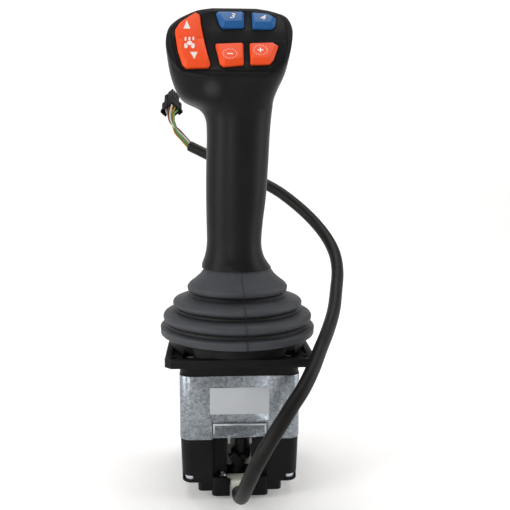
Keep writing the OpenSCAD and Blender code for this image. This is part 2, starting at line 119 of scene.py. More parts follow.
# The short inner cable in metres, from the window to the clamp
INNER_DIAMETER = 0.0078
INNER_ROUTE = ((0.001, -0.027, -0.056), (0.001, -0.0254, -0.064), (0.0008, -0.024, -0.072),
               (-0.0016, -0.0228, -0.080), (-0.002, -0.0244, -0.087), (-0.001, -0.030, -0.0895),
               (-0.001, -0.037, -0.0895))

# Steps drawn from one point to the next of a cable's route, and of a wire's
CABLE_STEPS = 6
WIRE_STEPS = 8

# The connector's cavities in mm, across its wire face
CAVITIES = {"white": (-3.4, -3.4), "yellow": (-0.2, -3.4), "green": (3.0, -3.4), "brown": (-3.4, -0.2),
            "grey": (-3.4, 3.0), "pink": (-0.2, -0.2)}

# Each wire's colour, and how far it lies to the left of the bundle's middle and behind it, in mm
WIRES = {
    "yellow": ("#a97f33", ((2.1, 0), (2.1, 0), (2.0, 0), (0.6, 0.3), (-0.6, 0))),
    "green": ("#4f7f45", ((0.5, -1.2), (0.5, -1.2), (0.3, -1.3), (-1.0, -1.5), (-2.4, -0.8))),
    "white": ("#b3b0aa", ((-1.3, -0.9), (-1.3, -0.9), (-0.6, -0.9), (1.2, -1.3), (1.0, -1.0))),
    "brown": ("#693f2b", ((-2.3, 0.7), (-2.3, 0.7), (-2.0, 0.8), (2.2, 0.6), (2.8, 0.2))),
    "grey": ("#7f8286", ((-0.6, 1.0), (-0.6, 1.0), (-0.5, 1.2), (-0.9, 1.6), (3.2, 2.0))),
    "pink": ("#b98488", ((1.1, 1.5), (1.1, 1.5), (1.0, 1.7), (0.9, 2.3), (-1.0, 2.2))),
}

# Sections of the grip in mm: height, left, right, front, back
GRIP_SECTIONS = (
    (50, -23.6, 22.4, -22.9, 22.9), (53, -23.3, 20.2, -22.2, 21.8), (58, -21.5, 17.4, -20.6, 20),
    (66, -20.2, 15.9, -19.4, 19.2), (80, -20.3, 16.8, -19.4, 20), (96, -20.5, 18.7, -19.8, 21.2),
    (116, -20.3, 20, -20.4, 22.4), (136, -19.8, 21, -20.8, 23.2), (146, -20.6, 21.8, -21.6, 24),
    (152, -24.6, 22.4, -22.8, 24.8), (157, -34.6, 22.9, -23.8, 25.4), (163, -39, 24.9, -25.2, 26.2),
    (172, -42.2, 29, -30, 27), (182, -43.9, 31.7, -33, 27), (191, -44.7, 33.3, -34, 26),
    (200, -43, 34, -33, 23), (206, -38, 32.4, -28, 20), (210, -31.7, 29.2, -21, 16),
    (213, -25, 21, -15, 12), (214.6, -16, 12, -9, 8),
)

# Steps from one section of the grip to the next, points round a ring, and the rings that close the
# top, each as a share of the last section
GRIP_STEPS = 5
GRIP_POINTS = 96
GRIP_CROWN = (0.7, 0.4, 0.12)

# How boxy the grip's rings are behind and in front: exponent in the shaft and in the head, then the
# height in mm where it starts to grow and the height over which it grows
BOXY_BEHIND = (2.1, 2.7, 140, 40)
BOXY_AHEAD = (2.1, 4, 150, 22)

# How far back the grip's parting plane lies, and half the gap in it, in mm
PARTING = 3
HALF_GAP = 0.12

# The faint swell under the thumb in mm: its middle, which is also the middle of the grip's painted
# highlight, its height and its reach
THUMB_SWELL = (-16, -24.5, 162)
SWELL_HEIGHT = 1.6
SWELL_REACH = 5

# Wells of the grip's screws in mm: across, height and start in depth, then their radius and length
SCREW_WELLS = ((-20, 164, 18), (12, 164, 18), (0, 75, 18.6), (0, 96, 18.6))
WELL_RADIUS = 3.2
WELL_LENGTH = 20

# Outlines on the key face in mm, across and up the face
BEZEL = ((-34, 0), (20, 0), (26.8, 7.5), (30.2, 22), (29.6, 38), (26.2, 43), (20.5, 45.6), (10, 47.6),
         (-12, 48.2), (-26, 46.4), (-37.4, 37.4), (-41, 30.4), (-40.2, 20), (-36.6, 4))
ROCKER = ((-26, 44), (-23.4, 42), (-22.8, 35), (-20.7, 21), (-17.2, 4), (-18.4, 2.2), (-31.6, 1.6),
          (-34, 4.2), (-36.8, 14.8), (-38.6, 27.6), (-38.6, 30.4), (-36.2, 35.4))
UPPER_LEFT = ((-13.5, 43.4), (-11.6, 45.4), (2.6, 45.6), (4, 44), (3.8, 32.7), (-9.5, 32.2), (-11.2, 34.4))
UPPER_RIGHT = ((8.8, 45), (19.6, 43.4), (23.6, 40.4), (24, 38.6), (22.4, 33), (20.6, 31.9), (8.9, 32))
MINUS = ((-14.3, 19.8), (2, 21), (2.9, 19.7), (2.8, 4.5), (-9.3, 2.9), (-11.6, 5))
PLUS = ((6.7, 20.5), (20.8, 21.4), (24.2, 18.5), (20.8, 8.2), (18.3, 5), (6.8, 4.6))

# Each key's outline, how far its top is drawn in at the left, right, near and far sides, the heights of
# the top's near and far edges, and how deep its skirt reaches, in mm
KEYS = {
    "upper_left": (UPPER_LEFT, (2.7, 1.4, 3.4, 0.8), 3.2, 1.3, -4.6),
    "upper_right": (UPPER_RIGHT, (1.3, 2.6, 3.2, 0.8), 3.2, 1.3, -4.6),
    "minus": (MINUS, (1.9, 1.2, 3.4, 0.8), 3.2, 1.3, -4.6),
    "plus": (PLUS, (1.2, 2.6, 3, 0.8), 3.2, 1.3, -4.6),
    "rocker": (ROCKER, (1.6, 1.4, 3.4, 1.2), 3.0, 2.4, -1.6),
}

# The key panel's faint ridge in mm: place up the face and rise, and how deep its points may lie
FACE_RIDGE = ((24.5, 0), (27.3, 0.22), (30, 0))
FACE_SKIN = 0.1

# The grip's pocket for the panel in mm: the gap round the panel, its corners, its floor and its top
POCKET_GAP = 0.3
POCKET_CORNER = 3.2
POCKET_REACH = (-8, 6)

# Keys in mm: the gap left at an opening's far side, the corners of a key's foot and top, the height of
# its straight sides over the panel, and how far its legend lies above its top
FAR_GAP = 0.35
FOOT_CORNER = 1.0
TOP_CORNER = 0.8
SHOULDER = 0.9
INK_LIFT = 0.01

# Hinge line across the rocker in mm: place up the face, half its width, depth, stretches across,
# and a height above every key
HINGE_LINE = 22.5
HALF_LINE = 0.3
LINE_DEPTH = 0.35
LINE_STRETCHES = ((-40, -34.2), (-24.6, -18))
ABOVE_KEYS = 5

# Numerals of the upper keys: name, text, middle in mm and key, then their size, how much their strokes
# are thickened and how near their points may lie, all in mm, and their lean
NUMERALS = (("legend_three", "3", (-3.6, 40.5), "upper_left"),
            ("legend_four", "4", (15.2, 39.2), "upper_right"))
NUMERAL_SIZE = 6.8
NUMERAL_GROWTH = 0.08
NUMERAL_MERGE = 0.06
NUMERAL_LEAN = 0.25

# Signs of the lower keys in mm: middle, arm, half the stroke, and the dashes of the toothed ring
SIGNS = (("minus", -5.4, 10.9), ("plus", 13.0, 14.2))
SIGN_ARM = 1.8
PLUS_ARM = 1.9
HALF_STROKE = 0.42
DASHES = 26
DASH_RADII = (3.8, 4.4)
DASH = ((-0.28, -0.14), (0.28, -0.14), (0.28, 0.14), (-0.28, 0.14))

# The rocker's two arrowheads, in mm
ARROW_UP = ((-33.4, 29.6), (-29.2, 29.6), (-31.5, 36))
ARROW_DOWN = ((-29.3, 11.6), (-24.9, 11.6), (-26.7, 6.2))

# The rocker's own symbol in mm: its middle, then from there three bars, a disc and a side's claw
SYMBOL = Vector((-29.7, 18.6))
SYMBOL_BARS = ((-2.9, -1.9, 1.6, 4.3), (-0.6, 0.5, 1.7, 4.4), (1.8, 2.8, 2, 4.6))
SYMBOL_DISC = Vector((0.1, -0.3))
DISC_RADIUS = 1.6
SYMBOL_CLAW = ((2, -0.3), (3.1, -0.8), (3, -4), (1.8, -4.3), (0.8, -3), (1.3, -2))

# Outer profile of the boot in mm: radius and height
BOOT_PROFILE = (
    (44, 6.8), (51.1, 6.8), (51.3, 11.4), (47.6, 12.7), (47.1, 14.2), (49.2, 16.2), (49.5, 18.6),
    (48.2, 20.4), (41, 22.4), (40.5, 23.6), (42.6, 25.2), (43.1, 27.4), (41.8, 29.2), (32, 32), (31.2, 33.3),
    (33, 35.2), (33.3, 37.6), (32, 39.6), (28, 42.6), (24.6, 45.6), (21.8, 49.7),
)

# Point of the profile where the boot's lower piece ends, and two heights in mm for each piece
BOOT_SPLIT = 14
LOWER_BEND = (16, 32)
UPPER_BEND = (33.6, 49)

# Bottoms of the boot's valleys in mm: radius and height
VALLEYS = ((47.4, 14), (40.8, 23.6), (31.6, 33.4))

# How far from a corner of the profile its curve starts in mm, for the first corners and the others
FOOT_CORNERS = 3
FOOT_REACH = 0.44
FOLD_REACH = 1.65

# Points round the boot
BOOT_POINTS = 128

# The boot's parting line: its turn from straight ahead, half the width of its bead and of its dark
# line in radians, and the bead's rise in mm
BOOT_SEAM = -0.07
SEAM_HALF = 0.007
SEAM_WIDE = 0.012
SEAM_RISE = 0.16

# Painted shade in the boot's valleys and darkness of its parting line, the distances in mm from a valley's
# bottom where the shade is full and where it ends, and how much a distance across counts beside one in
# height
VALLEY_SHADE = 0.9
SEAM_DARK = 0.55
VALLEY_NEAR = 0.92
VALLEY_FAR = 3.22
VALLEY_SQUASH = 0.6

# Tie bolts' distance from the middle along both sides, and their heads' radius and height, in mm
TIE_AT = 30.7
TIE_HEAD = ((3.3, -4), (3.3, -3), (2.9, -2.7), (1.8, -2.7), (1.6, -3.6))

# The rim round the housing's pocket in mm: the rounding of its bars, and two corners of each
RIM_EDGE = 0.7
POCKET_RIM = (((-17.2, -37.4, -45.3), (17, -35.3, -43.4)), ((-17.2, -37.2, -50.8), (-15.6, -35.3, -44)),
              ((15.4, -37.2, -50.8), (17, -35.3, -44)))

# The blank label in mm: its corners across and up, their rounding, where its back and face lie, and
# the rounding of its edge
LABEL = ((-18.8, -37.2), (18.2, -37.2), (18.2, -20), (-18.8, -20))
LABEL_CORNER = 1.2
LABEL_DEPTHS = (-37.82, -37.98)
LABEL_EDGE = 0.05

# The cable tie in mm: half its band's width, the band's thickness, its inner radii and its place
TIE_HALF = 1.7
TIE_WALL = 0.9
TIE_RADII = (5.3, 4.9)
TIE_PLACE = Vector((0.9, -24.6, -68.4))

# The floor's bowl in mm: radius and height above the floor
FLOOR_BOWL = ((1200, 0), (1500, 20), (1800, 110), (2000, 260), (2120, 460), (2180, 700), (2200, 1500))
FLOOR_SIDES = 96

# The camera's place and what it looks at in metres, and its sideways shift
EYE, AIM = Vector((-0.0186, -0.3984, 0.1109)), Vector((0, 0, 0.0577))
LENS_SHIFT = 0.0347

# Soft boxes in metres: place, what each faces, width and height, and the property with its power
JOYSTICK_MIDDLE, BACKDROP = (0, 0, 0.06), (0, 2.1, 0.5)
LIGHTS = {
    "left_box": ((-0.88, -0.38, 0.3), JOYSTICK_MIDDLE, (0.5, 1.1), "key_power"),
    "right_box": ((0.95, -0.1, 0.35), JOYSTICK_MIDDLE, (0.6, 1.1), "fill_power"),
    "front_box": ((-0.45, -1.0, 0.16), JOYSTICK_MIDDLE, (0.3, 0.3), "front_power"),
    "top_box": ((0, 0.15, 1.1), JOYSTICK_MIDDLE, (1.0, 0.7), "top_power"),
    "wall_box": ((0, 0.6, 1.4), BACKDROP, (1.6, 0.5), "wall_power"),
}

# Plastics, ink and paint: roughness, size and depth of the grain in mm, share by which the colour
# varies, and specular level. A real grain of 0.1 to 0.2 mm is drawn coarser, so that it shows.
PLASTICS = {
    # Soft-touch coating on nylon: matt, so its lights are broad and dim
    "soft_touch_nylon": (0.38, 0.6, 0.03, 0.1, 0.09),
    # Glass-filled nylon: half matt, with a coarse grain
    "glass_filled_nylon": (0.45, 0.7, 0.06, 0.14, 0.1),
    # Nylon from an etched mould: duller and more even than the grip round it
    "fine_grained_nylon": (0.52, 0.4, 0.04, 0.1, 0.08),
    # ABS coloured through: satin, so that each facet takes one even light
    "orange_abs": (0.42, 0.5, 0.015, 0.03, 0.15),
    "blue_abs": (0.4, 0.5, 0.015, 0.05, 0.15),
    # Pad-printed ink: nearly even, with the grain of the key showing through
    "white_ink": (0.5, 0.4, 0.01, 0.03, 0.4),
    # Extruded PVC: nearly black, with one soft light along its length
    "pvc_jacket": (0.44, 0.8, 0.04, 0.1, 0.14),
    # Nylon from a polished mould: the blackest piece, with small clear lights on its ribs
    "black_connector_nylon": (0.36, 0.9, 0.03, 0.08, 0.12),
    # Polyester film silvered on its back: flat grey, without the sparkle of the zinc round it
    "silvered_polyester_film": (0.4, 1.6, 0.01, 0.04, 0.25),
    # Machined acetal: dark and smooth
    "acetal": (0.4, 0.8, 0.03, 0.25, 0.25),
    # Moulded polyamide in its natural grey, half matt, made paler still as painted light where it lies in
    # shade
    "grey_polyamide": (0.5, 0.6, 0.04, 0.06, 0.25),
    # ABS from a smooth mould: even, and slightly glossy
    "ivory_abs": (0.35, 0.8, 0.02, 0.03, 0.25),
    # Rolled matt paint: pale and nearly even, so that the shadows stay soft
    "matt_white_paint": (0.75, 3, 0.02, 0.01, 0.25),
}
# Extruded PVC insulation: even colour, with a thin bright line along each wire
PLASTICS.update({"insulation_" + wire: (0.38, 1.2, 0.02, 0.05, 0.35) for wire in WIRES})

# Metals: colour, roughness, size of the clouding in mm, and share by which the colour varies
METALS = {
    # Electroplated zinc: pale and clear, with a faint cloud
    "zinc_plated_steel": ("#c4c8cc", 0.3, 1.5, 0.12),
    # Zinc along the pocket's bend: brighter than the crystals round it, a painted highlight on the fold
    "burnished_zinc": ("#b4b8bc", 0.32, 1.4, 0.1),
    # Pressed and sintered bronze: brown-gold, dulled by its pores
    "sintered_bronze": ("#b58a4a", 0.45, 0.8, 0.12),
    # Die-cast zinc: dull grey, with the broad cloud of the casting skin
    "die_cast_zinc": ("#989ca1", 0.48, 2.5, 0.12),
    # Drawn wire: clear and bright, with a fine cloud
    "spring_steel_wire": ("#9a9da1", 0.3, 0.6, 0.12),
    # Ground magnet: dark grey and dull
    "sintered_magnet": ("#5d6064", 0.5, 0.5, 0.12),
}


# ---- sizes and colours

def linear(code):
    """The linear colour of an sRGB hex value."""
    parts = [int(code[i:i + 2], 16) / 255 for i in (1, 3, 5)]
    return [p / 12.92 if p <= 0.04045 else ((p + 0.055) / 1.055) ** 2.4 for p in parts] + [1.0]


def length(name, size, text):
    return FloatProperty(name=name, description=text, default=size, unit="LENGTH")


def power(name, watts, text):
    return FloatProperty(name=name, description=text, default=watts, unit="POWER")


def colour(name, code, text):
    return FloatVectorProperty(name=name, description=text, subtype="COLOR", size=4,
                               min=0, max=1, default=linear(code))


class JoystickSizes(bpy.types.PropertyGroup):
    """Sizes that a user would change."""
    lead_diameter: length("Lead diameter", 0.0086, "Diameter of the lead's jacket")
    wire_diameter: length("Wire diameter", 0.0016, "Diameter of one insulated wire")
    boot_wall: length("Boot wall", 0.0018, "Thickness of the rubber boot")
    edge: length("Moulded edge", 0.0004, "Rounding of a moulded part's edges")
    key_edge: length("Key edge", 0.0005, "Rounding of the keys' edges")
    face_edge: length("Face edge", 0.003, "Rounding where the key face meets the grip")
    legend_height: length("Legend thickness", 0.00006, "Thickness of the printed legends")


class JoystickColours(bpy.types.PropertyGroup):
    """Colours that a user would change."""
    grip: colour("Grip", "#161617", "Soft-touch grip")
    orange: colour("Orange keys", "#d9481c", "Rocker and lower keys")
    blue: colour("Blue keys", "#205388", "Upper keys")
    boot: colour("Boot", "#333539", "Rubber boot")
    legend: colour("Legends", "#d6cdc7", "Printed legends")


class JoystickStudio(bpy.types.PropertyGroup):
    """Camera and lights."""
    lens: FloatProperty(name="Lens", description="Focal length on a 36 mm sensor", default=42.78,
                        unit="CAMERA")
    key_power: power("Left light", 8.0, "Power of the left soft box")
    fill_power: power("Right light", 6.0, "Power of the right soft box")
    front_power: power("Front light", 2.6, "Power of the small front soft box")
    top_power: power("Top light", 8.0, "Power of the overhead soft box")
    wall_power: power("Backdrop light", 22.0, "Power of the light on the backdrop")
    sky: FloatProperty(name="Surroundings", description="Strength of the even light all round",
                       default=0.1)


# ---- modelling helpers

def deselect():
    if bpy.context.mode != "OBJECT":
        bpy.ops.object.mode_set(mode="OBJECT")
    bpy.ops.object.select_all(action="DESELECT")


def activate(obj):
    deselect()
    obj.select_set(True)
    bpy.context.view_layer.objects.active = obj


def edit(obj):
    activate(obj)
    bpy.ops.object.mode_set(mode="EDIT")


def apply_modifiers(obj):
    activate(obj)
    for modifier in list(obj.modifiers):
        bpy.ops.object.modifier_apply(modifier=modifier.name)


def place(obj, matrix):
    """Moves a finished mesh by a matrix and leaves its object at the origin."""
    obj.matrix_world = matrix
    activate(obj)
    bpy.ops.object.transform_apply(location=True, rotation=True, scale=True)


def facing(spot, aim):
    """Rotation of a camera or a light that faces a point."""
    return (Vector(aim) - Vector(spot)).to_track_quat("-Z", "Y").to_euler()


def lerp(a, b, t):
    return a + (b - a) * t


def smooth_point(points, s):
    """A point of the smooth curve through the points, at position s along them."""
    last = len(points) - 1
    i = min(int(s), last - 1)
    t = s - i
    b, c = Vector(points[i]), Vector(points[i + 1])
    a = Vector(points[i - 1]) if i else 2 * b - c
    d = Vector(points[i + 2]) if i + 2 <= last else 2 * c - b
    return (2 * b + (c - a) * t + (2 * a - 5 * b + 4 * c - d) * t * t
            + (3 * b - 3 * c + d - a) * t * t * t) / 2


def smooth_line(points, steps):
    count = (len(points) - 1) * steps
    return [smooth_point(points, k / steps) for k in range(count + 1)]


def corner_curve(before, corner, after, reach, most, steps):
    """Points of a curve across a corner. It starts so far from the corner, or at most that share of
    the way to its neighbours."""
    back, ahead = before - corner, after - corner
    reach = min(reach, most * back.length, most * ahead.length)
    start_at, end_at = corner + back.normalized() * reach, corner + ahead.normalized() * reach
    return [start_at.lerp(corner, k / steps).lerp(corner.lerp(end_at, k / steps), k / steps)
            for k in range(steps + 1)]


def rounded(points, radius, steps=5):
    """A closed outline with each corner replaced by a curve of about that radius."""
    made = []
    for i, p in enumerate(points):
        before, corner, after = Vector(points[i - 1]), Vector(p), Vector(points[(i + 1) % len(points)])
        angle = (before - corner).angle(after - corner)
        made += corner_curve(before, corner, after, radius / math.tan(angle / 2), 0.45, steps)
    return made


def rounded_line(points, reaches, steps=4):
    """An open line with each inner corner replaced by a curve that starts so far from the corner."""
    line = [Vector(p) for p in points]
    made = line[:1]
    for i in range(1, len(line) - 1):
        made += corner_curve(*line[i - 1:i + 2], reaches[i], 0.48, steps)
    return made + line[-1:]


def shrunk(points, left, right, low, high):
    """An outline drawn in by its own amount at each side."""
    xs, ys = [p[0] for p in points], [p[1] for p in points]
    x0, x1, y0, y1 = min(xs), max(xs), min(ys), max(ys)
    return [(lerp(x0 + left, x1 - right, (x - x0) / (x1 - x0)),
             lerp(y0 + low, y1 - high, (y - y0) / (y1 - y0))) for x, y in points]


def turns_left(points):
    """Whether a closed outline runs anticlockwise."""
    return sum(points[i - 1][0] * p[1] - p[0] * points[i - 1][1] for i, p in enumerate(points)) > 0


def grown(points, by):
    """An outline moved outwards by the same amount all round."""
    made = []
    side = 1 if turns_left(points) else -1
    for i, p in enumerate(points):
        here, back, ahead = Vector(p), Vector(points[i - 1]), Vector(points[(i + 1) % len(points)])
        before, after = (here - back).normalized(), (ahead - here).normalized()
        normals = Vector((before.y, -before.x)) * side, Vector((after.y, -after.x)) * side
        middle = (normals[0] + normals[1]).normalized()
        made.append(here + middle * by / max(0.5, middle.dot(normals[0])))
    return made


def level(points, z):
    return [(p[0], p[1], z) for p in points]


def loft(name, rings, closed=True):
    """A piece drawn through rings of equally many points in mm: a circle is set on the first ring,
    and extruded from ring to ring."""
    deselect()
    bpy.ops.mesh.primitive_circle_add(vertices=len(rings[0]), radius=1,
                                      fill_type="NGON" if closed else "NOTHING")
    obj = bpy.context.object
    obj.name = obj.data.name = name
    rank = obj.data.attributes.new("rank", "INT", "POINT")
    rank.data.foreach_set("value", range(len(rings[0])))
    edit(obj)
    bpy.ops.mesh.select_all(action="SELECT")
    for k, ring in enumerate(rings):
        if k:
            bpy.ops.mesh.extrude_region_move()
        mesh = bmesh.from_edit_mesh(obj.data)
        order = mesh.verts.layers.int["rank"]
        for vertex in mesh.verts:
            if vertex.select:
                vertex.co = Vector(ring[vertex[order]]) * MM
        bmesh.update_edit_mesh(obj.data)
    bpy.ops.mesh.select_all(action="SELECT")
    if closed:
        bpy.ops.mesh.normals_make_consistent(inside=False)
    deselect()
    obj.data.attributes.remove(obj.data.attributes["rank"])
    return obj


def soften(obj, width, segments=3, limit=30, smooth=40):
    """Rounds a piece's sharp edges and shades it smooth."""
    if width:
        bevel = obj.modifiers.new("Edges", "BEVEL")
        bevel.width, bevel.segments = width, segments
        bevel.limit_method, bevel.angle_limit = "ANGLE", math.radians(limit)
        bevel.use_clamp_overlap = True
        apply_modifiers(obj)
    activate(obj)
    bpy.ops.object.shade_smooth_by_angle(angle=math.radians(smooth))
    return obj


def copy_of(node, name):
    """A merged copy of a CAD node, ready to be shaped."""
    source = frame["nodes"][node]
    activate(source)
    bpy.ops.object.duplicate()
    obj = bpy.context.object
    obj.parent = None
    obj.matrix_world = Matrix.Identity(4)
    obj.name = obj.data.name = name
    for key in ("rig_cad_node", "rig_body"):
        del obj[key]
    obj.data.materials.clear()
    edit(obj)
    bpy.ops.mesh.select_all(action="SELECT")
    bpy.ops.mesh.remove_doubles(threshold=0.002 * MM)
    bpy.ops.mesh.dissolve_limited(angle_limit=math.radians(1))
    deselect()
    activate(obj)
    bpy.ops.mesh.customdata_custom_splitnormals_clear()
    return obj


def cut(obj, tool):
    """Takes the tool's shape out of a piece and removes the tool."""
    boolean = obj.modifiers.new("Cut", "BOOLEAN")
    boolean.operation, boolean.solver, boolean.object = "DIFFERENCE", "EXACT", tool
    apply_modifiers(obj)
    bpy.data.objects.remove(tool)


def joined(objs, name):
    """Several meshes made one piece."""
    activate(objs[0])
    for obj in objs[1:]:
        obj.select_set(True)
    bpy.ops.object.join()
    objs[0].name = objs[0].data.name = name
    return objs[0]


def block(name, low, high, edge=0.0):
    """A box between two corners in mm, with rounded edges."""
    (x0, y0, z0), (x1, y1, z1) = low, high
    ring = ((x0, y0), (x1, y0), (x1, y1), (x0, y1))
    obj = loft(name, [level(ring, z0), level(ring, z1)])
    return soften(obj, edge * MM)


def disc(name, centre, rings, sides=32, closed=True):
    """A turned piece about the vertical through centre in mm: radius and height of each ring."""
    return loft(name, [[(centre[0] + r * math.cos(2 * math.pi * k / sides),
                         centre[1] + r * math.sin(2 * math.pi * k / sides), z) for k in range(sides)]
                       for r, z in rings], closed)


def cord_curve(name, points, diameter, roundness=6):
    """A round cord along points in metres, as one open line."""
    data = bpy.data.curves.new(name, "CURVE")
    data.dimensions = "3D"
    data.bevel_depth, data.bevel_resolution = diameter / 2, roundness
    data.use_fill_caps = True
    line = data.splines.new("POLY")
    line.points.add(len(points) - 1)
    for point, place_at in zip(line.points, points):
        point.co = (*place_at, 1)
    line.use_smooth = True
    obj = bpy.data.objects.new(name, data)
    bpy.context.scene.collection.objects.link(obj)
    return obj


def dress(obj, body, slot, material, *nodes):
    """Gives a piece its body and material, and hides the nodes that it stands for. The slot is not used."""
    obj.data.materials.clear()
    obj.data.materials.append(material)
    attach(obj, body)
    if nodes:
        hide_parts(*nodes)
    return obj


# ---- materials

def add_node(tree, kind, sockets=None, links=None, stops=(), **settings):
    """Adds a node, with its settings, the values of its sockets, what they are linked from, and the
    places and colours of its ramp's stops."""
    made = tree.nodes.new(kind)
    for key, value in settings.items():
        setattr(made, key, value)
    for k, (position, tint) in enumerate(stops):
        made.color_ramp.elements[k].position = position
        made.color_ramp.elements[k].color = tint
    for key, value in (sockets or {}).items():
        made.inputs[key].default_value = value
    for key, source in (links or {}).items():
        tree.links.new(source, made.inputs[key])
    return made


def start(name, **sockets):
    """A new material with its tree, surface shader and object coordinates, or one made before alone."""
    material = bpy.data.materials.get(name)
    if material:
        return material, None, None, None
    material = bpy.data.materials.new(name)
    material.use_nodes = True
    tree = material.node_tree
    tree.nodes.clear()
    shader = add_node(tree, "ShaderNodeBsdfPrincipled", sockets)
    add_node(tree, "ShaderNodeOutputMaterial", links={"Surface": shader.outputs["BSDF"]})
    place_at = add_node(tree, "ShaderNodeTexCoord").outputs["Object"]
    return material, tree, shader, place_at


def connect(tree, shader, tint, gloss, relief=None):
    """Links a surface's colour, roughness and relief to its shader."""
    tree.links.new(tint, shader.inputs["Base Color"])
    tree.links.new(gloss.outputs["Result"], shader.inputs["Roughness"])
    if relief:
        tree.links.new(relief.outputs["Normal"], shader.inputs["Normal"])


def per_metre(size_mm):
    """Texture scale that gives a pattern of that size."""
    return 1000 / size_mm


def shade(value, by):
    """A colour made lighter or darker."""
    return [min(1, c * by) for c in value[:3]] + [1.0]


def moulded(name, base, **sockets):
    """Plastic from a mould: slow colour changes from the flow of the melt, and a spark-eroded grain."""
    roughness, grain_mm, relief_mm, spread, level = PLASTICS[name]
    material, tree, shader, place_at = start(name, **{"Specular IOR Level": level, **sockets})
    if not tree:
        return material
    flow = add_node(tree, "ShaderNodeTexNoise", {"Scale": per_metre(22), "Detail": 3.0, "Roughness": 0.6},
                    {"Vector": place_at})
    tint = add_node(tree, "ShaderNodeValToRGB", links={"Fac": flow.outputs["Fac"]},
                    stops=((0.3, shade(base, 1 - spread)), (0.7, shade(base, 1 + spread))))
    grain = add_node(tree, "ShaderNodeTexNoise", {"Scale": per_metre(grain_mm), "Detail": 2.0},
                     {"Vector": place_at})
    gloss = add_node(tree, "ShaderNodeMapRange",
                     {"From Min": 0.3, "From Max": 0.7, "To Min": roughness - 0.05,
                      "To Max": roughness + 0.06}, {"Value": grain.outputs["Fac"]})
    relief = add_node(tree, "ShaderNodeBump", {"Strength": 0.5, "Distance": relief_mm * MM},
                      {"Height": grain.outputs["Fac"]})
    connect(tree, shader, tint.outputs["Color"], gloss, relief)
    return material


def plated(name):
    """Plated, drawn or cast metal: a fine crystalline surface with faint clouding."""
    code, roughness, cloud_mm, spread = METALS[name]
    base = linear(code)
    material, tree, shader, place_at = start(name, Metallic=1.0)
    if not tree:
        return material
    cloud = add_node(tree, "ShaderNodeTexNoise",
                     {"Scale": per_metre(cloud_mm), "Detail": 5.0, "Roughness": 0.65}, {"Vector": place_at})
    tint = add_node(tree, "ShaderNodeValToRGB", links={"Fac": cloud.outputs["Fac"]},
                    stops=((0.32, shade(base, 1 - spread)), (0.68, shade(base, 1 + spread))))
    gloss = add_node(tree, "ShaderNodeMapRange",
                     {"From Min": 0.3, "From Max": 0.7, "To Min": roughness - 0.06,
                      "To Max": roughness + 0.08}, {"Value": cloud.outputs["Fac"]})
    relief = add_node(tree, "ShaderNodeBump", {"Strength": 0.25, "Distance": 0.02 * MM},
                      {"Height": cloud.outputs["Fac"]})
    connect(tree, shader, tint.outputs["Color"], gloss, relief)
    return material


def galvanised_steel():
    """Hot-dip galvanised sheet: flat zinc crystals, each with its own brightness and polish, that gather
    in paler and darker clouds."""
    material, tree, shader, place_at = start("hot_dip_galvanised_sheet", Metallic=1.0)
    if not tree:
        return material
    bend = add_node(tree, "ShaderNodeTexNoise", {"Scale": per_metre(3), "Detail": 3.0}, {"Vector": place_at})
    warp = Vector((1.2, 1.2, 1.2)) * MM
    warped = add_node(tree, "ShaderNodeVectorMath", {1: warp}, {0: bend.outputs["Color"], 2: place_at},
                      operation="MULTIPLY_ADD")
    crystal = add_node(tree, "ShaderNodeTexVoronoi", {"Scale": per_metre(1.3)},
                       {"Vector": warped.outputs["Vector"]})
    bright = add_node(tree, "ShaderNodeSeparateColor", links={"Color": crystal.outputs["Color"]})
    cloud = add_node(tree, "ShaderNodeTexNoise",
                     {"Scale": per_metre(9), "Detail": 6.0, "Roughness": 0.7}, {"Vector": place_at})
    mixed = add_node(tree, "ShaderNodeMix", {"Factor": 0.62},
                     {"A": bright.outputs["Red"], "B": cloud.outputs["Fac"]}, data_type="FLOAT")
    tint = add_node(tree, "ShaderNodeValToRGB", links={"Fac": mixed.outputs["Result"]},
                    stops=((0.28, linear("#70767c")), (0.78, linear("#9ea4a9"))))
    gloss = add_node(tree, "ShaderNodeMapRange", {"To Min": 0.27, "To Max": 0.37},
                     {"Value": bright.outputs["Green"]})
    relief = add_node(tree, "ShaderNodeBump", {"Strength": 0.15, "Distance": 0.03 * MM},
                      {"Height": mixed.outputs["Result"]})
    connect(tree, shader, tint.outputs["Color"], gloss, relief)
    return material


def moulded_rubber(base):
    """Carbon-filled rubber straight from the mould: matt, with a pale bloom in slow clouds, and painted
    shade that darkens its valleys."""
    material, tree, shader, place_at = start("moulded_rubber", **{"Specular IOR Level": 0.3})
    if not tree:
        return material
    bloom = add_node(tree, "ShaderNodeTexNoise",
                     {"Scale": per_metre(14), "Detail": 5.0, "Roughness": 0.62}, {"Vector": place_at})
    tint = add_node(tree, "ShaderNodeValToRGB", links={"Fac": bloom.outputs["Fac"]},
                    stops=((0.3, shade(base, 0.86)), (0.72, shade(base, 1.18))))
    grain = add_node(tree, "ShaderNodeTexNoise", {"Scale": per_metre(0.5), "Detail": 2.0},
                     {"Vector": place_at})
    gloss = add_node(tree, "ShaderNodeMapRange",
                     {"From Min": 0.3, "From Max": 0.7, "To Min": 0.52, "To Max": 0.68},
                     {"Value": bloom.outputs["Fac"]})
    relief = add_node(tree, "ShaderNodeBump", {"Strength": 0.4, "Distance": 0.05 * MM},
                      {"Height": grain.outputs["Fac"]})
    # Painted shade: the valleys are mixed towards near black, the parting line less so
    valley = add_node(tree, "ShaderNodeAttribute", attribute_name="valley")
    painted_light_mix = add_node(tree, "ShaderNodeMix", {"B": linear("#050506")},
                    {"Factor": valley.outputs["Fac"], "A": tint.outputs["Color"]}, data_type="RGBA")
    connect(tree, shader, painted_light_mix.outputs["Result"], gloss, relief)
    return material


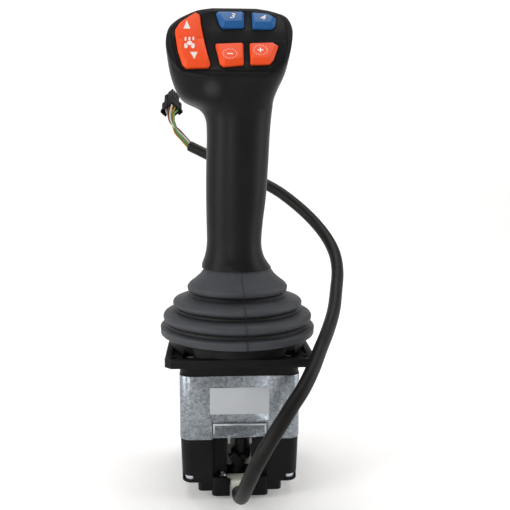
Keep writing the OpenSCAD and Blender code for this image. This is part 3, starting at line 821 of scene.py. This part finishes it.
def circuit_laminate():
    """Glass-epoxy board under solder mask: green with paler tracks, under a thin clear gloss."""
    material, tree, shader, place_at = start("circuit_laminate", **{"Coat Weight": 0.3})
    if not tree:
        return material
    tracks = add_node(tree, "ShaderNodeTexBrick",
                      {"Scale": per_metre(4), "Mortar Size": 0.012, "Color1": linear("#12502c"),
                       "Color2": linear("#165a33"), "Mortar": linear("#2f8a54")}, {"Vector": place_at})
    mottle = add_node(tree, "ShaderNodeTexNoise", {"Scale": per_metre(6), "Detail": 4.0},
                      {"Vector": place_at})
    gloss = add_node(tree, "ShaderNodeMapRange", {"To Min": 0.28, "To Max": 0.42},
                     {"Value": mottle.outputs["Fac"]})
    connect(tree, shader, tracks.outputs["Color"], gloss)
    return material


def grip_finish():
    """The grip's coating, with a painted highlight: a pale spot on the lobe under the thumb."""
    material = moulded("soft_touch_nylon", list(bpy.context.scene.joystick_colours.grip))
    tree = material.node_tree
    shader = next(n for n in tree.nodes if n.type == "BSDF_PRINCIPLED")
    plain = shader.inputs["Base Color"].links[0].from_socket
    place_at = next(n for n in tree.nodes if n.type == "TEX_COORD").outputs["Object"]
    # Painted highlight: the coating is mixed towards a paler grey round the thumb's swell
    away = add_node(tree, "ShaderNodeVectorMath", {1: Vector(THUMB_SWELL) * MM}, {0: place_at},
                    operation="DISTANCE")
    highlight_mask = add_node(tree, "ShaderNodeMapRange", {"From Min": 7.5 * MM, "From Max": 1 * MM, "To Max": 0.8},
                      {"Value": away.outputs["Value"]}, interpolation_type="SMOOTHSTEP")
    painted_light_mix = add_node(tree, "ShaderNodeMix", {"B": linear("#353433")},
                    {"Factor": highlight_mask.outputs["Result"], "A": plain}, data_type="RGBA")
    tree.links.new(painted_light_mix.outputs["Result"], shader.inputs["Base Color"])
    return material


def black_nylon():
    """The black of the flange, the base and the tie."""
    return moulded("glass_filled_nylon", linear("#101011"))


# ---- operators

class JOYSTICK_OT_camera(bpy.types.Operator):
    """Adds the camera that looks at the joystick's front"""
    bl_idname = "joystick.camera"
    bl_label = "Camera"

    def execute(self, context):
        deselect()
        bpy.ops.object.camera_add(location=EYE, rotation=facing(EYE, AIM))
        camera = context.object
        camera.name = "front_camera"
        camera.data.lens, camera.data.sensor_width = context.scene.joystick_studio.lens, 36
        camera.data.shift_x = LENS_SHIFT
        camera.data.clip_start, camera.data.clip_end = 0.01, 20
        context.scene.camera = camera
        return {"FINISHED"}


class JOYSTICK_OT_lead(bpy.types.Operator):
    """Adds the lead, its wires and its connector"""
    bl_idname = "joystick.lead"
    bl_label = "Lead and connector"

    def execute(self, context):
        sizes = context.scene.joystick_sizes
        jacket = moulded("pvc_jacket", linear("#131211"))
        route = smooth_line(LEAD_ROUTE, CABLE_STEPS)
        lead = cord_curve("lead_cable", route, sizes.lead_diameter)
        dress(lead, "base", "cable_jacket", jacket, "lead")
        inner = cord_curve("inner_cable_run", smooth_line(INNER_ROUTE, CABLE_STEPS), INNER_DIAMETER)
        dress(inner, "base", "cable_jacket", jacket, "inner_cable")
        housing = self.connector()
        wires = self.wires(sizes.wire_diameter)
        return {"FINISHED"}

    @staticmethod
    def plug_turn():
        """Place and turn of the connector."""
        turn = Matrix.Translation(PLUG)
        for angle, axis in PLUG_TURNS:
            turn = turn @ Matrix.Rotation(math.radians(angle), 4, axis)
        return turn

    def connector(self):
        """A crimp housing: a hollow skirt round the wires, and two ribbed prongs with their cavities.
        Drawn in mm, across, back and away from the wire face."""
        skirt = block("skirt", (-5.7, -6, 0), (5.7, 6, 10.5))
        cut(skirt, block("hollow", (-4.7, -5, -2), (4.7, 5, 3)))
        near = block("near_prong", (-5.7, -6, 9), (2.7, -0.8, 20.6))
        far = block("far_prong", (-5.7, 0.2, 9), (2.7, 3.4, 19.6))
        for x in (-3.5, 0.5):
            for prong, y in ((near, -3.4), (far, 1.8)):
                cut(prong, block("cavity", (x - 1.3, y - 1.1, 16), (x + 1.3, y + 1.1, 21)))
        for x in (-3.6, -1.4, 0.8):
            cut(near, block("groove", (x - 0.4, -7, 11.5), (x + 0.4, -5.3, 21)))
        for y in (-4.2, -2.4):
            cut(near, block("groove", (-6, y - 0.35, 12), (-5.2, y + 0.35, 21)))
        for x, y in CAVITIES.values():
            cut(skirt, block("way_in", (x - 1.3, y - 1.3, 2), (x + 1.3, y + 1.3, 6)))
        parts = [skirt, near, far, block("web", (-4.9, -1, 9), (1.9, 1, 17.6)),
                 block("rail", (3.4, -6.5, 1), (4.4, -5.8, 10)),
                 block("rail", (-6.2, -0.5, 1), (-5.6, 0.5, 10)),
                 block("far_foot", (-5.7, 5.9, -1.6), (0.3, 7.5, 2.6)),
                 block("near_foot", (5.6, -6, -1.2), (7, -1.8, 2.2))]
        for part in parts:
            soften(part, 0.25 * MM, 2)
        obj = joined(parts, "connector")
        place(obj, self.plug_turn())
        nylon = moulded("black_connector_nylon", linear("#070708"))
        return dress(obj, "base", "connector_plastic", nylon, "connector_housing")

    def wires(self, diameter):
        """Insulated wires that fan out and cross between the lead's jacket and the connector's cavities."""
        made = []
        ends = [Vector(p) for p in WIRE_ROUTE]
        for name, (code, shifts) in WIRES.items():
            stations = []
            for i, (across, back) in enumerate(shifts):
                ahead = (ends[i + 1] - ends[max(i - 1, 0)]).normalized()
                left = Vector((-ahead.z, 0, ahead.x)).normalized()
                stations.append(ends[i] + left * across * MM + Vector((0, back * MM, 0)))
            # Each wire ends 5 mm inside its cavity
            x, y = CAVITIES[name]
            stations += [self.plug_turn() @ (Vector((x, y, z)) * MM) for z in (0, 5)]
            wire = cord_curve("wire_" + name, smooth_line(stations, WIRE_STEPS), diameter, 3)
            skin = moulded("insulation_" + name, linear(code))
            made.append(dress(wire, "base", "wire_insulation", skin))
        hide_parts("lead_wires")
        return made


class JOYSTICK_OT_grip(bpy.types.Operator):
    """Adds the two shells of the grip, split along its sides"""
    bl_idname = "joystick.grip"
    bl_label = "Grip shells"

    def execute(self, context):
        sections = smooth_line(GRIP_SECTIONS, GRIP_STEPS)
        top = sections[-1]
        sections += [Vector((top[0], *(v * k for v in top[1:]))) for k in GRIP_CROWN]
        edge = context.scene.joystick_sizes.face_edge / MM
        whole = loft("grip", [self.ring(s, edge) for s in sections])
        for vertex in whole.data.vertices:
            reach = (vertex.co / MM - Vector(THUMB_SWELL)).length
            vertex.co.y -= SWELL_HEIGHT * MM * math.exp(-(reach / SWELL_REACH) ** 2)
        shells = []
        for name, side in (("grip_front", -1), ("grip_rear", 1)):
            activate(whole)
            bpy.ops.object.duplicate()
            shell = context.object
            shell.name = shell.data.name = name
            edit(shell)
            bpy.ops.mesh.select_all(action="SELECT")
            bpy.ops.mesh.bisect(plane_co=(0, (PARTING + side * HALF_GAP) * MM, 0),
                                plane_no=(0, side, 0), use_fill=True, clear_inner=True)
            deselect()
            shells.append(shell)
        bpy.data.objects.remove(whole)
        front, rear = shells
        outline = rounded(grown(BEZEL, POCKET_GAP), POCKET_CORNER)
        pocket = loft("pocket", [level(outline, w) for w in POCKET_REACH])
        place(pocket, FACE)
        cut(front, pocket)
        for x, z, y in SCREW_WELLS:
            well = disc("well", (0, 0), ((WELL_RADIUS, 0), (WELL_RADIUS, WELL_LENGTH)))
            place(well, Matrix.Translation(Vector((x, y, z)) * MM) @ Matrix.Rotation(-math.pi / 2, 4, "X"))
            cut(rear, well)
        finish = grip_finish()
        for shell, node in ((front, "grip_front_shell"), (rear, "grip_rear_shell")):
            soften(shell, 0, smooth=50)
            dress(shell, "lever", "grip_plastic", finish, node)
        return {"FINISHED"}

    @staticmethod
    def ring(section, edge):
        """One section of the grip: an oval that grows boxier with height in the head, most of all in
        front, and is held behind the key face with a rounded edge."""
        z, left, right, front, back = section
        behind, ahead = (2 / lerp(low, high, min(max((z - foot) / growth, 0), 1))
                         for low, high, foot, growth in (BOXY_BEHIND, BOXY_AHEAD))
        ring = []
        for k in range(GRIP_POINTS):
            a = 2 * math.pi * k / GRIP_POINTS
            c, s = math.cos(a), math.sin(a)
            exponent = ahead if s < 0 else behind
            x = (right if c > 0 else -left) * math.copysign(abs(c) ** exponent, c)
            y = (back if s > 0 else -front) * math.copysign(abs(s) ** exponent, s)
            point = Vector((x, y, z))
            out = (point - FACE_POINT).dot(FACE_NORMAL)
            kept = 0 if out > edge else out - max(0, out + edge) ** 2 / (4 * edge)
            ring.append(point + FACE_NORMAL * (kept - out))
        return ring


class JOYSTICK_OT_bezel(bpy.types.Operator):
    """Adds the key panel with its five openings and its faint ridge"""
    bl_idname = "joystick.bezel"
    bl_label = "Key panel"

    def execute(self, context):
        panel = copy_of("key_bezel", "key_panel")
        place(panel, FACE.inverted())
        for u, height in FACE_RIDGE:
            edit(panel)
            bpy.ops.mesh.select_all(action="SELECT")
            bpy.ops.mesh.bisect(plane_co=(0, u * MM, 0), plane_no=(0, 1, 0))
            mesh = bmesh.from_edit_mesh(panel.data)
            for vertex in mesh.verts:
                if vertex.select and vertex.co.z > -FACE_SKIN * MM:
                    vertex.co.z += height * MM
            bmesh.update_edit_mesh(panel.data)
        place(panel, FACE)
        soften(panel, context.scene.joystick_sizes.edge, 2)
        plastic = moulded("fine_grained_nylon", linear("#101010"))
        dress(panel, "lever", "bezel_plastic", plastic, "key_bezel")
        return {"FINISHED"}


class JOYSTICK_OT_keys(bpy.types.Operator):
    """Adds the rocker, the four push keys and their legends"""
    bl_idname = "joystick.keys"
    bl_label = "Keys and legends"

    def execute(self, context):
        tints = context.scene.joystick_colours
        self.edge = context.scene.joystick_sizes.key_edge
        self.thick = context.scene.joystick_sizes.legend_height
        self.tilts = {}
        orange, blue = moulded("orange_abs", list(tints.orange)), moulded("blue_abs", list(tints.blue))
        self.ink = moulded("white_ink", list(tints.legend))
        for name, shape in KEYS.items():
            self.key(name, blue if "upper" in name else orange, *shape)
        self.legends()
        return {"FINISHED"}

    def key(self, name, plastic, outline, inset, near, far, skirt):
        """A key cap: straight sides through the panel, then facets up to a top that slopes back."""
        rocks = name == "rocker"
        foot = rounded(shrunk(outline, 0, 0, 0, FAR_GAP), FOOT_CORNER)
        top = rounded(shrunk(outline, *inset), TOP_CORNER)
        low, high = min(p[1] for p in top), max(p[1] for p in top)
        slope = (far - near) / (high - low)
        crown = [(p[0], p[1], near + slope * (p[1] - low)) for p in top]
        cap = loft(name + "_cap", [level(foot, skirt), level(foot, SHOULDER), crown])
        if rocks:
            floor = near + slope * (HINGE_LINE - low) - LINE_DEPTH
            for x0, x1 in LINE_STRETCHES:
                cut(cap, block("line", (x0, HINGE_LINE - HALF_LINE, floor),
                               (x1, HINGE_LINE + HALF_LINE, ABOVE_KEYS)))
        soften(cap, self.edge, limit=12, smooth=30)
        place(cap, FACE)
        self.tilts[name] = (Matrix.Translation((0, low * MM, (near + INK_LIFT) * MM))
                            @ Matrix.Rotation(math.atan(slope), 4, "X")
                            @ Matrix.Translation((0, -low * MM, 0)))
        body, slot, node = (("rocker", "orange_key", "rocker_key") if rocks else
                            ("key_" + name, "blue_key" if "upper" in name else "orange_key", name + "_key"))
        return dress(cap, body, slot, plastic, node)

    def legend(self, name, parts, key):
        """Printed marks: flat shapes laid on a key's sloping top, given the thickness of the ink."""
        made = joined(parts, name) if len(parts) > 1 else parts[0]
        made.name = made.data.name = name
        solid = made.modifiers.new("Ink", "SOLIDIFY")
        solid.thickness, solid.offset = self.thick, 1
        apply_modifiers(made)
        place(made, FACE @ self.tilts[key])
        return dress(made, key if key == "rocker" else "key_" + key, "switch_plastic", self.ink)

    def mark(self, points):
        """One flat mark with its face outwards."""
        return loft("mark", [level(points if turns_left(points) else points[::-1], 0)])

    def numeral(self, text, middle):
        """A numeral, as a flat mesh without near-double points."""
        deselect()
        bpy.ops.object.text_add(location=(middle[0] * MM, middle[1] * MM, 0))
        letters = bpy.context.object.data
        letters.body, letters.size, letters.shear = text, NUMERAL_SIZE * MM, NUMERAL_LEAN
        letters.align_x, letters.align_y = "CENTER", "CENTER"
        letters.offset = NUMERAL_GROWTH * MM
        bpy.ops.object.convert(target="MESH")
        obj = bpy.context.object
        bpy.ops.object.transform_apply(location=True, rotation=True, scale=True)
        edit(obj)
        bpy.ops.mesh.select_all(action="SELECT")
        bpy.ops.mesh.remove_doubles(threshold=NUMERAL_MERGE * MM)
        deselect()
        return obj

    def bar(self, x0, x1, u0, u1):
        return self.mark(((x0, u0), (x1, u0), (x1, u1), (x0, u1)))

    def dash(self, middle, k):
        """A dash of the toothed ring round a sign, by turns nearer and farther out."""
        a = 2 * math.pi * k / DASHES
        along, out = Vector((-math.sin(a), math.cos(a))), Vector((math.cos(a), math.sin(a)))
        here = middle + out * DASH_RADII[k % 2]
        return self.mark([here + along * p + out * q for p, q in DASH])

    def legends(self):
        for name, text, middle, key in NUMERALS:
            self.legend(name, [self.numeral(text, middle)], key)
        for key, x, u in SIGNS:
            parts = [self.bar(x - SIGN_ARM, x + SIGN_ARM, u - HALF_STROKE, u + HALF_STROKE)]
            if key == "plus":
                parts += [self.bar(x - HALF_STROKE, x + HALF_STROKE, u + HALF_STROKE, u + PLUS_ARM),
                          self.bar(x - HALF_STROKE, x + HALF_STROKE, u - PLUS_ARM, u - HALF_STROKE)]
            parts += [self.dash(Vector((x, u)), k) for k in range(DASHES)]
            self.legend("legend_" + key, parts, key)
        self.legend("legend_up", [self.mark(ARROW_UP)], "rocker")
        self.legend("legend_down", [self.mark(ARROW_DOWN)], "rocker")
        x, u = SYMBOL
        symbol = [self.bar(x + a, x + b, u + c, u + d) for a, b, c, d in SYMBOL_BARS]
        angles = [k * math.pi / 12 for k in range(24)]
        symbol.append(self.mark([SYMBOL + SYMBOL_DISC + Vector((math.cos(a), math.sin(a))) * DISC_RADIUS
                                 for a in angles]))
        symbol += [self.mark([(x + side * a, u + b) for a, b in SYMBOL_CLAW]) for side in (-1, 1)]
        self.legend("legend_centre", symbol, "rocker")


class JOYSTICK_OT_boot(bpy.types.Operator):
    """Adds the rubber boot, in two pieces"""
    bl_idname = "joystick.boot"
    bl_label = "Boot"

    def execute(self, context):
        rubber = moulded_rubber(list(context.scene.joystick_colours.boot))
        wall = context.scene.joystick_sizes.boot_wall
        for name, profile, below, above, bend in (
                ("boot_lower", BOOT_PROFILE[:BOOT_SPLIT + 1], "base", "gimbal", LOWER_BEND),
                ("boot_upper", BOOT_PROFILE[BOOT_SPLIT:], "gimbal", "lever", UPPER_BEND)):
            piece = loft(name, self.rings(profile), closed=False)
            solid = piece.modifiers.new("Wall", "SOLIDIFY")
            solid.thickness, solid.offset = wall, -1
            edit(piece)
            bpy.ops.mesh.select_all(action="SELECT")
            bpy.ops.mesh.normals_make_consistent(inside=False)
            apply_modifiers(piece)
            soften(piece, 0, smooth=50)
            self.paint_valley_shade_and_seam(piece)
            piece.data.materials.append(rubber)
            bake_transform(piece)
            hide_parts("boot")
        return {"FINISHED"}

    @staticmethod
    def paint_valley_shade_and_seam(piece):
        """Stores how dark each point is painted: darkest within a valley, where shade is painted, and less
        along the parting line.
        """
        values = []
        for vertex in piece.data.vertices:
            radius, height = vertex.co.xy.length / MM, vertex.co.z / MM
            away = min(math.hypot((radius - r) * VALLEY_SQUASH, height - z) for r, z in VALLEYS)
            fold = VALLEY_SHADE * min(1, max(0, (VALLEY_FAR - away) / (VALLEY_FAR - VALLEY_NEAR)))
            turned = abs(abs(math.atan2(vertex.co.y, vertex.co.x)) - math.pi / 2 - BOOT_SEAM)
            values.append(max(fold, SEAM_DARK * (turned < SEAM_WIDE)))
        piece.data.attributes.new("valley", "FLOAT", "POINT").data.foreach_set("value", values)

    @staticmethod
    def rings(profile):
        """Rings round the boot, each with the mould's parting line as a fine raised bead."""
        turns = [(2 * math.pi * k / BOOT_POINTS, 0) for k in range(BOOT_POINTS)]
        for side in (-1, 1):
            middle = side * (math.pi / 2 + BOOT_SEAM) % (2 * math.pi)
            turns += [(middle - SEAM_HALF, 0), (middle, SEAM_RISE), (middle + SEAM_HALF, 0)]
        reaches = [FOOT_REACH if i < FOOT_CORNERS else FOLD_REACH for i in range(len(profile))]
        return [[((r + bead) * math.cos(a), (r + bead) * math.sin(a), z) for a, bead in sorted(turns)]
                for r, z in rounded_line(profile, reaches)]


class JOYSTICK_OT_body(bpy.types.Operator):
    """Adds the flange, the metal housing with its label and rim, the base cover, bolt heads and tie"""
    bl_idname = "joystick.body"
    bl_label = "Flange, housing and base"

    def execute(self, context):
        edge = context.scene.joystick_sizes.edge
        for node, name, slot, width, material in (
                ("flange_plate", "flange", "black_plastic", edge, black_nylon()),
                ("housing_body", "metal_housing", "galvanised_steel", edge, galvanised_steel()),
                ("base_cover", "base_shell", "black_plastic", edge * 1.5, black_nylon())):
            piece = soften(copy_of(node, name), width, 2)
            dress(piece, "base", slot, material, node)
        self.label()
        heads = [disc("head", (x, y), TIE_HEAD) for x in (-TIE_AT, TIE_AT) for y in (-TIE_AT, TIE_AT)]
        dress(soften(joined(heads, "tie_bolt_heads"), 0), "base", "steel", plated("zinc_plated_steel"))
        bars = [soften(block("bar", low, high), RIM_EDGE * MM, 4) for low, high in POCKET_RIM]
        # The rim's rounded bars are real; their paler zinc is a painted highlight along the fold
        dress(joined(bars, "pocket_fold"), "base", "galvanised_steel", plated("burnished_zinc"))
        self.cable_tie()
        return {"FINISHED"}

    def label(self):
        """A blank label of silvered film on the front strip."""
        rings = [[(p[0], y, p[1]) for p in rounded(LABEL, LABEL_CORNER)] for y in LABEL_DEPTHS]
        label = soften(loft("blank_label", rings), LABEL_EDGE * MM, 2)
        film = moulded("silvered_polyester_film", linear("#a6a9ad"))
        dress(label, "base", "galvanised_steel", film)

    def cable_tie(self):
        """The tie that holds the inner cable: a band with its locking head and tail."""
        band = [[(math.cos(a) * (TIE_RADII[0] + d), math.sin(a) * (TIE_RADII[1] + d), z)
                 for d, z in ((0, -TIE_HALF), (TIE_WALL, -TIE_HALF), (TIE_WALL, TIE_HALF), (0, TIE_HALF))]
                for a in (2 * math.pi * k / 40 for k in range(41))]
        strap = loft("strap", band, closed=False)
        head = block("head", (-2.7, -1.8, -3.7), (2.7, 1.8, 3.7), 0.5)
        tail = block("tail", (-1.8, -1.0, -6), (1.8, -0.1, -3.2), 0.2)
        tilt = Matrix.Translation(Vector((-3.8, -5.8, 0)) * MM) @ Matrix.Rotation(math.radians(-35), 4, "Y")
        for part in (head, tail):
            place(part, tilt)
        tie = soften(joined([strap, head, tail], "cable_tie_band"), 0)
        place(tie, Matrix.Translation(TIE_PLACE * MM) @ Matrix.Rotation(math.radians(10), 4, "X"))
        dress(tie, "base", "black_plastic", black_nylon(), "cable_tie")


class JOYSTICK_OT_nodes(bpy.types.Operator):
    """Gives each of the frame's parts that stay in sight its finish"""
    bl_idname = "joystick.nodes"
    bl_label = "Finishes of the inner parts"

    def execute(self, context):
        finishes = {
            "steel": plated("zinc_plated_steel"),
            "inner_plastic": moulded("acetal", linear("#303234")),
            "bronze": plated("sintered_bronze"),
            "circuit_board": circuit_laminate(),
            # The grey plate is paler than its own grey: painted light where it lies in shade inside the
            # window
            "grey_plate": moulded("grey_polyamide", linear("#c4c6b9")),
            "die_cast": plated("die_cast_zinc"),
            "spring_steel": plated("spring_steel_wire"),
            "magnet": plated("sintered_magnet"),
            "switch_plastic": moulded("ivory_abs", linear("#e4e1d6")),
        }
        slots = {part["node"]: part["material_slot"] for part in frame["record"]["subparts"]}
        for name, node in frame["nodes"].items():
            if node.hide_render:
                continue
            finish = finishes.get(slots[name]) or black_nylon()
            for slot in node.material_slots:
                slot.link = "OBJECT"
                slot.material = finish
        return {"FINISHED"}


class JOYSTICK_OT_stage(bpy.types.Operator):
    """Adds the pale floor and the soft lights"""
    bl_idname = "joystick.stage"
    bl_label = "Floor and lights"

    def execute(self, context):
        studio = context.scene.joystick_studio
        floor_z = CAD_BOX[0].z / MM
        bowl = disc("bowl", (0, 0), [(r, floor_z + h) for r, h in FLOOR_BOWL], FLOOR_SIDES, closed=False)
        deselect()
        bpy.ops.mesh.primitive_circle_add(vertices=FLOOR_SIDES, radius=FLOOR_BOWL[0][0] * MM,
                                          fill_type="NGON", location=(0, 0, floor_z * MM))
        middle = context.object
        bpy.ops.object.transform_apply(location=True)
        floor = joined([bowl, middle], "studio_floor")
        edit(floor)
        bpy.ops.mesh.select_all(action="SELECT")
        bpy.ops.mesh.remove_doubles(threshold=0.1 * MM)
        bpy.ops.mesh.normals_make_consistent(inside=True)
        soften(floor, 0, smooth=60)
        # A little light of the paint's own keeps the bowl pale where the soft boxes don't reach
        glow = {"Emission Color": linear("#ffffff"), "Emission Strength": 0.16}
        floor.data.materials.append(moulded("matt_white_paint", linear("#e6e5e4"), **glow))
        for name, (spot, aim, size, strength) in LIGHTS.items():
            deselect()
            bpy.ops.object.light_add(type="AREA", location=spot, rotation=facing(spot, aim))
            light = context.object
            light.name = name
            light.data.shape, light.data.size, light.data.size_y = "RECTANGLE", *size
            light.data.energy = getattr(studio, strength)
        context.scene.view_settings.view_transform = "Standard"
        world = context.scene.world or bpy.data.worlds.new("studio")
        context.scene.world = world
        world.use_nodes = True
        sky = world.node_tree.nodes["Background"]
        sky.inputs["Color"].default_value = linear("#fbfbfb")
        sky.inputs["Strength"].default_value = studio.sky
        return {"FINISHED"}


class JOYSTICK_PT_panel(bpy.types.Panel):
    """Lists the joystick's operators, sizes and colours"""
    bl_label = "Joystick"
    bl_idname = "JOYSTICK_PT_panel"
    bl_space_type = "VIEW_3D"
    bl_region_type = "UI"
    bl_category = "Joystick"

    def draw(self, context):
        for operator in OPERATORS:
            self.layout.operator(operator.bl_idname)
        for group in (context.scene.joystick_sizes, context.scene.joystick_colours,
                      context.scene.joystick_studio):
            for name in group.__annotations__:
                self.layout.prop(group, name)


GROUPS = (JoystickSizes, JoystickColours, JoystickStudio)
OPERATORS = (JOYSTICK_OT_camera, JOYSTICK_OT_lead, JOYSTICK_OT_grip, JOYSTICK_OT_bezel, JOYSTICK_OT_keys,
             JOYSTICK_OT_boot, JOYSTICK_OT_body, JOYSTICK_OT_nodes, JOYSTICK_OT_stage)


def register():
    for item in (*GROUPS, *OPERATORS, JOYSTICK_PT_panel):
        bpy.utils.register_class(item)
    bpy.types.Scene.joystick_sizes = PointerProperty(type=JoystickSizes)
    bpy.types.Scene.joystick_colours = PointerProperty(type=JoystickColours)
    bpy.types.Scene.joystick_studio = PointerProperty(type=JoystickStudio)


def unregister():
    del bpy.types.Scene.joystick_sizes, bpy.types.Scene.joystick_colours, bpy.types.Scene.joystick_studio
    for item in (JOYSTICK_PT_panel, *reversed(OPERATORS), *reversed(GROUPS)):
        bpy.utils.unregister_class(item)


def main():
    register()
    for operator in OPERATORS:
        area, name = operator.bl_idname.split(".")
        getattr(getattr(bpy.ops, area), name)()
    deselect()


if __name__ == "__main__":
    main()
